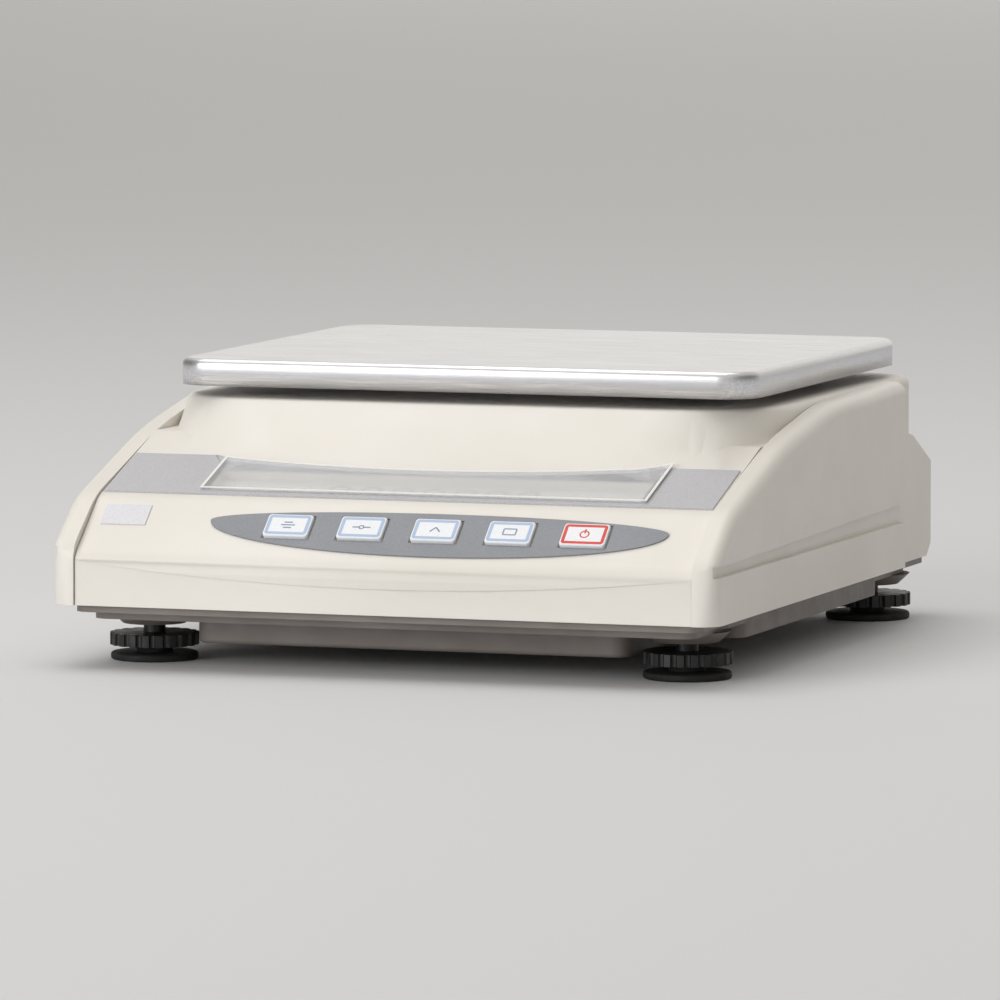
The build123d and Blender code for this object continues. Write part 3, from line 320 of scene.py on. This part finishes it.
def crown(node, slope):
    """The low left and high right corners of a CAD node's outermost face on a slope."""
    out = outward(slope)
    corners = [v.co for v in frame["nodes"][node].data.vertices]
    top = max(c.dot(out) for c in corners)
    face = [c for c in corners if c.dot(out) > top - SAME_LEVEL]
    return [Vector([pick(c[i] for c in face) for i in range(3)]) for pick in (min, max)]


def slope_frame(node, slope):
    """A matrix to the middle of a node's crown: X across, Y up the slope and Z out of it."""
    low, high = crown(node, slope)
    turn = Matrix((Vector((1, 0, 0)), uphill(slope), outward(slope))).transposed().to_4x4()
    return Matrix.Translation((low + high) / 2) @ turn


def rounded_outline(shape, width, depth, radius, segments=6):
    """A rounded rectangle of edges in the XY plane: a circle whose quarters are moved apart."""
    made = bmesh.ops.create_circle(shape, segments=4 * segments, radius=radius)
    turn = Matrix.Rotation(math.pi / (4 * segments), 4, "Z")
    bmesh.ops.transform(shape, matrix=turn, verts=made["verts"])
    for vert in made["verts"]:
        vert.co.x += math.copysign(width / 2 - radius, vert.co.x)
        vert.co.y += math.copysign(depth / 2 - radius, vert.co.y)
    return made["verts"]


def thickened(shape, faces, offset):
    """Extrude flat faces by an offset into a closed plate whose faces point outwards."""
    raised = bmesh.ops.extrude_face_region(shape, geom=faces)
    verts = [v for v in raised["geom"] if isinstance(v, bmesh.types.BMVert)]
    bmesh.ops.translate(shape, vec=offset, verts=verts)
    bmesh.ops.recalc_face_normals(shape, faces=shape.faces)
    return shape


def plate(shape, width, depth, radius, thickness, segments=6):
    """A thin rounded plate lying on the XY plane."""
    rim = rounded_outline(shape, width, depth, radius, segments)
    face = bmesh.ops.contextual_create(shape, geom=rim)["faces"]
    return thickened(shape, face, (0, 0, thickness))


def inner_border(shape, faces, line):
    """Inset faces and give the band of one line's width that this leaves along their outline."""
    return bmesh.ops.inset_region(shape, faces=faces, thickness=line, use_boundary=True,
                                  use_even_offset=True)["faces"]


def ring(shape, width, depth, radius, line, thickness):
    """A thin rounded frame of one line's width on the XY plane."""
    rim = rounded_outline(shape, width, depth, radius)
    face = bmesh.ops.contextual_create(shape, geom=rim)["faces"]
    border = inner_border(shape, face, line)
    bmesh.ops.delete(shape, geom=face, context="FACES_ONLY")
    return thickened(shape, border, (0, 0, thickness))


def border_of(node, slope, line):
    """A thin line, raised like print, just inside the outline of a CAD node's outermost face on a slope."""
    out = outward(slope)
    shape = merged(node)
    top = max(shape.faces, key=lambda f: f.calc_center_median().dot(out) + f.normal.dot(out))
    border = inner_border(shape, [top], line)
    bmesh.ops.delete(shape, geom=[f for f in shape.faces if f not in border], context="FACES")
    return thickened(shape, border, INK * out)


def sliced(shape, point, normal, **settings):
    """Cut a whole shape by a plane and give the cut's result."""
    return bmesh.ops.bisect_plane(shape, geom=shape.verts[:] + shape.edges[:] + shape.faces[:],
                                  plane_co=point, plane_no=normal, **settings)


def bar(shape, centre, length, width, thickness, angle=0.0):
    """A thin rounded bar, turned in the XY plane about its centre."""
    before = set(shape.verts)
    plate(shape, length, width, width * 0.3, thickness, 2)
    place = Matrix.Translation(centre) @ Matrix.Rotation(angle, 4, "Z")
    bmesh.ops.transform(shape, matrix=place, verts=[v for v in shape.verts if v not in before])


def placed(shape, matrix):
    """Move a whole shape from the XY plane to its place."""
    bmesh.ops.transform(shape, matrix=matrix, verts=shape.verts)
    return shape


# ---------------------------------------------------------------- what a user may change
class ScaleSizes(bpy.types.PropertyGroup):
    """Sizes of the finishes, and where the camera stands."""
    edge: FloatProperty(name="Moulded edge", description="Rounding of the plastic's edges",
                        default=0.6 * MM, min=0, unit="LENGTH")
    small_edge: FloatProperty(name="Small edge", description="Rounding of small pieces' edges",
                              default=0.25 * MM, min=0, unit="LENGTH")
    pan_sheet: FloatProperty(name="Pan sheet", description="Thickness of the pan's steel",
                             default=0.9 * MM, min=0, unit="LENGTH")
    pan_corner: FloatProperty(name="Pan corner", description="Plan radius of the pan's corners",
                              default=10.5 * MM, min=0, unit="LENGTH")
    pan_bend: FloatProperty(name="Pan bend", description="Radius of the bend into the flange",
                            default=1.9 * MM, min=0, unit="LENGTH")
    key_line: FloatProperty(name="Key frame", description="Width of the line round each key",
                            default=0.9 * MM, min=0, unit="LENGTH")
    key_room: FloatProperty(name="Key room", description="From a key's top face to its window",
                            default=0.65 * MM, min=0, unit="LENGTH")
    film: FloatProperty(name="Film", description="Thickness of the printed films",
                        default=0.5 * MM, min=0, unit="LENGTH")
    film_height: FloatProperty(name="Display film height", description="How far the display's film climbs",
                               default=26 * MM, min=0, unit="LENGTH")
    crescent_rise: FloatProperty(name="Crescent rise", description="Share of the crescent above its ends",
                                 default=0.3, min=0, max=1)
    # The line round the display window is a painted highlight, standing for the light that the window's edge
    # catches.
    window_highlight_line: FloatProperty(name="Window border", description="Width of the line round the window",
                               default=0.8 * MM, min=0, unit="LENGTH")
    digit_height: FloatProperty(name="Digit height", description="Height of the display's digits",
                                default=9.5 * MM, min=0, unit="LENGTH")
    digits: IntProperty(name="Digits", description="Places on the display", default=7, min=1, max=10)
    view_turn: FloatProperty(name="View azimuth", description="Where the camera stands round the scale",
                             default=math.radians(19), subtype="ANGLE")
    view_height: FloatProperty(name="View elevation", description="How far the camera looks down",
                               default=math.radians(5.14), subtype="ANGLE")
    view_distance: FloatProperty(name="View distance", description="Camera to the scale",
                                 default=2.572, min=0.1, unit="LENGTH")
    view_lens: FloatProperty(name="Lens", description="Focal length in millimetres", default=333.0, min=10)


def swatch(label, text, code):
    """A colour property whose default is a hex code turned to linear."""
    return FloatVectorProperty(name=label, description=text, subtype="COLOR", size=4, min=0, max=1,
                               default=srgb(code))


class ScaleColours(bpy.types.PropertyGroup):
    """Colours of the floor, the housing, the films and the inks; a shade is a finish's darker tone."""
    floor: swatch("Floor", "The floor the scale stands on", "#DBDCDF")
    housing: swatch("Housing", "The cover, cheeks and rear housing", "#E9E5DF")
    housing_shade: swatch("Housing shade", "Their darker tone", "#E3DFD8")
    base: swatch("Base", "The painted casting underneath", "#857E79")
    base_shade: swatch("Base shade", "Its darker tone", "#776F6A")
    display: swatch("Display film", "The film round the window", "#C3C3C8")
    display_shade: swatch("Display film shade", "Its darker tone", "#B6B6BC")
    crescent: swatch("Crescent film", "The film round the keys", "#84878E")
    crescent_shade: swatch("Crescent film shade", "Its darker tone", "#7B7E85")
    key_frame: swatch("Key frame", "The line round four of the keys", "#A9BEDD")
    key_sign: swatch("Key sign", "The signs on four of the keys", "#7C8DA8")
    power: swatch("Power key", "The line and sign of the power key", "#D8392F")


# ---------------------------------------------------------------- operators
class GRAMSCALE_OT_stage(bpy.types.Operator):
    """Add the floor, the soft lights and the camera"""
    bl_idname = "gramscale.stage"
    bl_label = "Stage"

    def execute(self, context):
        sizes = context.scene.scale_sizes
        shape = bmesh.new()
        bmesh.ops.create_grid(shape, x_segments=1, y_segments=1, size=FLOOR_HALF)
        floor_mesh = bpy.data.meshes.new("floor")
        shape.to_mesh(floor_mesh)
        shape.free()
        floor = bpy.data.objects.new("floor", floor_mesh)
        context.scene.collection.objects.link(floor)
        finish = {"Base Color": linear(context.scene.scale_colours.floor), "Roughness": 0.7}
        floor_mesh.materials.append(new_material("painted_floor", finish)[0])
        context.scene.world = self.studio()
        for name, place, size, power in LIGHTS:
            lamp = bpy.data.lights.new(name, "AREA")
            lamp.size = size
            lamp.energy = power
            light = bpy.data.objects.new(name, lamp)
            light.location = place
            light.rotation_euler = (-Vector(place)).to_track_quat("-Z", "Y").to_euler()
            context.scene.collection.objects.link(light)
        eye = bpy.data.cameras.new("camera")
        eye.lens = sizes.view_lens
        eye.sensor_width = 36.0
        eye.clip_start = 0.05
        camera = bpy.data.objects.new("camera", eye)
        target = Vector(LOOK_AT)
        turn, height = sizes.view_turn, sizes.view_height
        back_off = Vector((math.sin(turn) * math.cos(height), -math.cos(turn) * math.cos(height),
                           math.sin(height)))
        camera.location = target + sizes.view_distance * back_off
        camera.rotation_euler = (-back_off).to_track_quat("-Z", "Y").to_euler()
        context.scene.collection.objects.link(camera)
        context.scene.camera = camera
        context.scene.view_settings.view_transform = "Standard"
        return {"FINISHED"}

    def studio(self):
        """A pale room, bright in front and behind and dim to the left and right."""
        world = bpy.data.worlds.new("studio")
        world.use_nodes = True
        tree = world.node_tree
        sky = tree.nodes["Background"]
        sky.inputs["Color"].default_value = srgb("#F3EFE8")
        direction = add_node(tree, "ShaderNodeTexCoord")
        parts = add_node(tree, "ShaderNodeSeparateXYZ", links={"Vector": direction.outputs["Generated"]})
        sideways = add_node(tree, "ShaderNodeMath", links={0: parts.outputs["X"]}, operation="ABSOLUTE")
        level = add_node(tree, "ShaderNodeMapRange",
                         {"From Min": 0.45, "From Max": 0.95, "To Min": 0.72, "To Max": 0.22},
                         {"Value": sideways.outputs[0]}, interpolation_type="SMOOTHSTEP")
        tree.links.new(level.outputs[0], sky.inputs["Strength"])
        return world


class GRAMSCALE_OT_housing(bpy.types.Operator):
    """Finish the cover, cheeks, rear housing and base"""
    bl_idname = "gramscale.housing"
    bl_label = "Housing"

    def execute(self, context):
        edge = context.scene.scale_sizes.edge
        colours = context.scene.scale_colours
        ivory = moulded_abs("ivory_abs", colours.housing, colours.housing_shade)
        for node in ("cover", "left_cheek", "right_cheek", "rear_housing"):
            softened(node, ivory, edge)
        softened("base", cast_paint("die_cast_paint", colours.base, colours.base_shade), edge)
        return {"FINISHED"}


class GRAMSCALE_OT_pan(bpy.types.Operator):
    """Add the pressed steel pan"""
    bl_idname = "gramscale.pan"
    bl_label = "Weighing pan"

    def execute(self, context):
        sizes = context.scene.scale_sizes
        low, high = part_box("weighing_pan")
        middle = (low + high) / 2
        shape = bmesh.new()
        rim = rounded_outline(shape, high.x - low.x, high.y - low.y, sizes.pan_corner, 12)
        top = bmesh.ops.contextual_create(shape, geom=rim)["faces"]
        skirt = bmesh.ops.extrude_edge_only(shape, edges=[e for e in shape.edges])
        lower = [v for v in skirt["geom"] if isinstance(v, bmesh.types.BMVert)]
        bmesh.ops.translate(shape, vec=(0, 0, low.z - high.z), verts=lower)
        bmesh.ops.bevel(shape, geom=list(top[0].edges), offset=sizes.pan_bend, offset_type="OFFSET",
                        segments=6, profile=0.5, affect="EDGES", material=-1)
        bmesh.ops.recalc_face_normals(shape, faces=shape.faces)
        bmesh.ops.translate(shape, vec=(middle.x, middle.y, high.z), verts=shape.verts)
        steel = brushed_stainless("brushed_stainless", "#ECECEF", "#D2D2D6")
        pan = finished("weighing_pan_finished", shape, "pan", steel, 50, ["weighing_pan"])
        wall = pan.modifiers.new("sheet", "SOLIDIFY")
        wall.thickness = sizes.pan_sheet
        wall.offset = -1
        return {"FINISHED"}


class GRAMSCALE_OT_display(bpy.types.Operator):
    """Finish the display panel, its window and the liquid crystal digits"""
    bl_idname = "gramscale.display"
    bl_label = "Display"

    def execute(self, context):
        sizes = context.scene.scale_sizes
        colours = context.scene.scale_colours
        silver = printed_film("silver_film", colours.display, colours.display_shade)
        finished("display_panel_finished", self.film(sizes.film_height), "housing", silver,
                 replaces=["display_panel"])
        # A small label, blank here, in a paler ink than the film.
        paint(["capacity_plate"], printed_film("pale_label", "#DCDCE1", "#D1D1D8"))
        # The display's front polariser is a film too, glossier and greenish when it rests; its near-white
        # tone is partly painted light, lightened past the film's own colour to make up for the shade in the
        # window's recess.
        paint(["lcd"], printed_film("lcd_polariser_painted_light", "#ECEDEA", "#E4E6E3", 0.22))
        # The acrylic is near white for the same reason: partly painted light that lifts the shaded recess.
        paint(["display_window"], clear_acrylic("frosted_acrylic_painted_light", "#F2F3F5", 0.32))
        # A white line round the window: a painted highlight for the light caught along the window's edge,
        # drawn as a printed line.
        finished("window_edge_painted_highlight", border_of("display_window", DISPLAY_SLOPE, sizes.window_highlight_line), "housing",
                 ink("white_painted_highlight", "#F0F0EE"))
        finished("lcd_segments", self.digits(sizes.digits, sizes.digit_height), "housing",
                 ink("resting_segments", "#A9AEAA"))
        return {"FINISHED"}

    def digits(self, count, height):
        """Seven resting bars for each place: three level ones and four upright."""
        stroke = 0.1 * height
        thick = 0.05 * MM
        row = 0.45 * height
        width = 0.52 * height
        shape = bmesh.new()
        for place in range(count):
            x = (place - (count - 1) / 2) * 0.95 * height
            for y in (-row, 0, row):
                bar(shape, Vector((x, y, 0)), 0.8 * width, stroke, thick)
            for side in (-width / 2, width / 2):
                for y in (-row / 2, row / 2):
                    bar(shape, Vector((x + side, y, 0)), 0.8 * row, stroke, thick, math.pi / 2)
        return placed(shape, slope_frame("lcd", DISPLAY_SLOPE))

    def film(self, height):
        """The panel cut off straight across, this far up its slope."""
        low_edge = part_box("display_panel")[0]
        up = uphill(DISPLAY_SLOPE)
        shape = merged("display_panel")
        cut = sliced(shape, low_edge + height * up, up, clear_outer=True)
        edges = [e for e in cut["geom_cut"] if isinstance(e, bmesh.types.BMEdge)]
        bmesh.ops.holes_fill(shape, edges=edges)
        return shape


class GRAMSCALE_OT_keys(bpy.types.Operator):
    """Finish the crescent panel and the five keys with their printed frames and signs"""
    bl_idname = "gramscale.keys"
    bl_label = "Keys"

    def execute(self, context):
        sizes = context.scene.scale_sizes
        colours = context.scene.scale_colours
        slate = printed_film("slate_film", colours.crescent, colours.crescent_shade)
        finished("key_panel_finished", self.crescent(sizes), "housing", slate,
                 replaces=["key_panel"])
        # Pale polycarbonate caps, textured like the films but less shiny.
        cap = printed_film("key_polycarbonate", "#EEF0F4", "#E6E9EE", 0.38)
        blue = ink("pale_blue_ink", colours.key_frame)
        red = ink("red_ink", colours.power)
        grey = ink("grey_blue_ink", colours.key_sign)
        for node in KEYS:
            power = node == KEYS[-1]
            softened(node, cap, 0)
            place = slope_frame(node, KEY_SLOPE)
            line = ring(bmesh.new(), *FRAME_SIZE, FRAME_CORNER, sizes.key_line, INK)
            finished(f"{node}_frame", placed(line, place), node, red if power else blue)
            sign = self.sign(KEYS.index(node))
            finished(f"{node}_sign", placed(sign, place), node, red if power else grey)
        return {"FINISHED"}

    def crescent(self, sizes):
        """The blunt-ended crescent film, flat above and full below, with a window for each key."""
        place = slope_frame("key_panel", KEY_SLOPE)
        to_film = place.inverted()
        width, height = 2 * (to_film @ crown("key_panel", KEY_SLOPE)[1]).xy
        shape = bmesh.new()
        rim = bmesh.ops.create_circle(shape, segments=96, radius=width / 2)["verts"]
        rise = height * sizes.crescent_rise
        for vert in rim:
            vert.co.y *= 2 / width * (rise if vert.co.y > 0 else height - rise)
            vert.co.y += height / 2 - rise
        bmesh.ops.contextual_create(shape, geom=rim)
        room = sizes.key_room * Vector((1, 1))
        for node in KEYS:
            low, high = (to_film @ corner for corner in crown(node, KEY_SLOPE))
            low, high = low.xy - room, high.xy + room
            # A cut that runs along an earlier one, as between keys in a row, adds no corners.
            for corner in (low, high):
                for normal in (Vector((1, 0, 0)), Vector((0, 1, 0))):
                    sliced(shape, corner.to_3d(), normal, dist=SAME_LEVEL / 2)
            middles = [(face, face.calc_center_median()) for face in shape.faces]
            inside = [face for face, m in middles if low.x < m.x < high.x and low.y < m.y < high.y]
            bmesh.ops.delete(shape, geom=inside, context="FACES")
        thickened(shape, shape.faces[:], (0, 0, -sizes.film))
        return placed(shape, place)

    def sign(self, number):
        """A plain generic sign: level bars, a ring on a line, an arrow, a box or the power ring.

        A corner radius just under half a ring's width makes it round."""
        shape = bmesh.new()
        line = 0.45 * MM
        if number == 0:
            bar(shape, Vector((0, 0, 0)), 4 * MM, line, INK)
            bar(shape, Vector((0, 1 * MM, 0)), 2.4 * MM, line, INK)
            bar(shape, Vector((0, -1 * MM, 0)), 2.4 * MM, line, INK)
        elif number == 1:
            for side in (-1, 1):
                bar(shape, Vector((side * 1.6 * MM, 0, 0)), 2 * MM, line, INK)
            ring(shape, 1.6 * MM, 1.6 * MM, 0.79 * MM, 0.35 * MM, INK)
        elif number == 2:
            for side in (-1, 1):
                bar(shape, Vector((side * 0.7 * MM, 0, 0)), 2.2 * MM, line, INK, side * math.radians(-50))
        elif number == 3:
            ring(shape, 4 * MM, 2.6 * MM, 0.5 * MM, 0.4 * MM, INK)
        else:
            ring(shape, 2.8 * MM, 2.8 * MM, 1.39 * MM, 0.4 * MM, INK)
            bar(shape, Vector((0, 1.1 * MM, 0.02 * MM)), 1.6 * MM, line, INK, math.pi / 2)
        return shape


class GRAMSCALE_OT_feet(bpy.types.Operator):
    """Finish the thumb wheels and the rubber pads"""
    bl_idname = "gramscale.feet"
    bl_label = "Levelling feet"

    def execute(self, context):
        small = context.scene.scale_sizes.small_edge
        # Black nylon has a low sheen; the rubber of the pads has none.
        wheel = plain_moulding("moulded_nylon", "#101011", "#171718", 0.45)
        pad = plain_moulding("black_rubber", "#0E0E0F", "#151516")
        for corner in CORNERS:
            softened(f"foot_wheel_{corner}", wheel, small, 2)
            softened(f"foot_pad_{corner}", pad, small, 2)
        return {"FINISHED"}


class GRAMSCALE_OT_back(bpy.types.Operator):
    """Finish the sockets and the blank plate at the back, and what shows underneath"""
    bl_idname = "gramscale.back"
    bl_label = "Back and underside"

    def execute(self, context):
        small = context.scene.scale_sizes.small_edge
        black = plain_moulding("moulded_pbt", "#1A1A1B", "#222224", 0.45)
        softened("dc_jack", black, small / 2, 2)
        tin = machined_metal("tinned_steel", "#C9C9C6", "#B4B4B0")
        softened("serial_port", tin, small / 2, 2)
        paint(["serial_pins"], machined_metal("gold_flash", "#D9B45A", "#C79F45"))
        paint(["rating_plate"], printed_film("satin_foil", "#C9CACC", "#BDBEC1", 0.28))
        zinc = machined_metal("zinc_plate", "#C4C6C8", "#A9ABAE")
        for node in ("case_screws", "hatch_screw", "hook_hatch", "weighing_eye"):
            softened(node, zinc, small, 2)
        return {"FINISHED"}


class GRAMSCALE_OT_receiver(bpy.types.Operator):
    """Finish the pan carrier, its bumpers and the collar and level under the pan"""
    bl_idname = "gramscale.receiver"
    bl_label = "Pan carrier"

    def execute(self, context):
        small = context.scene.scale_sizes.small_edge
        milled = machined_metal("milled_aluminium", "#CDCFD2", "#B9BBBF")
        for node in ("pan_carrier", "receiver_bracket"):
            softened(node, milled, 2 * small, 2)
        zinc = machined_metal("plated_screw", "#BFC0C2", "#A6A8AB")
        softened("carrier_screws", zinc, small, 2)
        rubber = plain_moulding("bumper_rubber", "#19191A", "#232324")
        for node in ("pan_bumpers", "dust_collar"):
            softened(node, rubber, small, 2)
        # The level's tinted fluid shows as one smooth yellow-green disc.
        paint(["level_vial"], printed_film("level_fluid", "#B9CF4A", "#B2C843", 0.15))
        paint(["level_lens"], clear_acrylic("level_acrylic", "#E8ECEA", 0.3))
        return {"FINISHED"}


class GRAMSCALE_OT_inside(bpy.types.Operator):
    """Give the inner pieces their materials"""
    bl_idname = "gramscale.inside"
    bl_label = "Inside"

    def execute(self, context):
        paint(["load_cell", "load_cell_spacer", "hook_stirrup"],
              machined_metal("machined_aluminium", "#C8CACC", "#B2B4B7"))
        paint(["load_cell_bolts", "receiver_bolts", "stirrup_screws", "board_screws", "front_board_screws",
               "overload_stop"], machined_metal("bright_zinc", "#BCBEC0", "#A3A5A8"))
        paint(["main_board", "key_board", "display_board"], solder_mask("green_board"))
        paint(["board_parts", "key_switches"], plain_moulding("black_epoxy", "#1B1B1D", "#262628", 0.5))
        paint(["display_ribbon", "cell_cable", "power_lead"],
              plain_moulding("grey_vinyl", "#6A6B6E", "#5F6063", 0.5))
        return {"FINISHED"}


class GRAMSCALE_PT_panel(bpy.types.Panel):
    """Shows a button for each step and the settings in the 3D view's sidebar"""
    bl_label = "Gram scale"
    bl_idname = "GRAMSCALE_PT_panel"
    bl_space_type = "VIEW_3D"
    bl_region_type = "UI"
    bl_category = "Gram scale"

    def draw(self, context):
        for kind in STEPS:
            self.layout.operator(kind.bl_idname)
        for group in (context.scene.scale_sizes, context.scene.scale_colours):
            for name in group.__annotations__:
                self.layout.prop(group, name)


STEPS = (GRAMSCALE_OT_stage, GRAMSCALE_OT_housing, GRAMSCALE_OT_pan, GRAMSCALE_OT_display, GRAMSCALE_OT_keys,
         GRAMSCALE_OT_feet, GRAMSCALE_OT_back, GRAMSCALE_OT_receiver, GRAMSCALE_OT_inside)
CLASSES = (ScaleSizes, ScaleColours) + STEPS + (GRAMSCALE_PT_panel,)


def register():
    """Register the classes and give each scene its two groups of settings."""
    for kind in CLASSES:
        bpy.utils.register_class(kind)
    bpy.types.Scene.scale_sizes = PointerProperty(type=ScaleSizes)
    bpy.types.Scene.scale_colours = PointerProperty(type=ScaleColours)


def unregister():
    """Take the settings and the classes away again, in the reverse order."""
    del bpy.types.Scene.scale_colours
    del bpy.types.Scene.scale_sizes
    for kind in reversed(CLASSES):
        bpy.utils.unregister_class(kind)


def main():
    """Add the stage and every piece."""
    register()
    bpy.ops.gramscale.stage()
    bpy.ops.gramscale.housing()
    bpy.ops.gramscale.pan()
    bpy.ops.gramscale.display()
    bpy.ops.gramscale.keys()
    bpy.ops.gramscale.feet()
    bpy.ops.gramscale.back()
    bpy.ops.gramscale.receiver()
    bpy.ops.gramscale.inside()


if __name__ == "__main__":
    main()
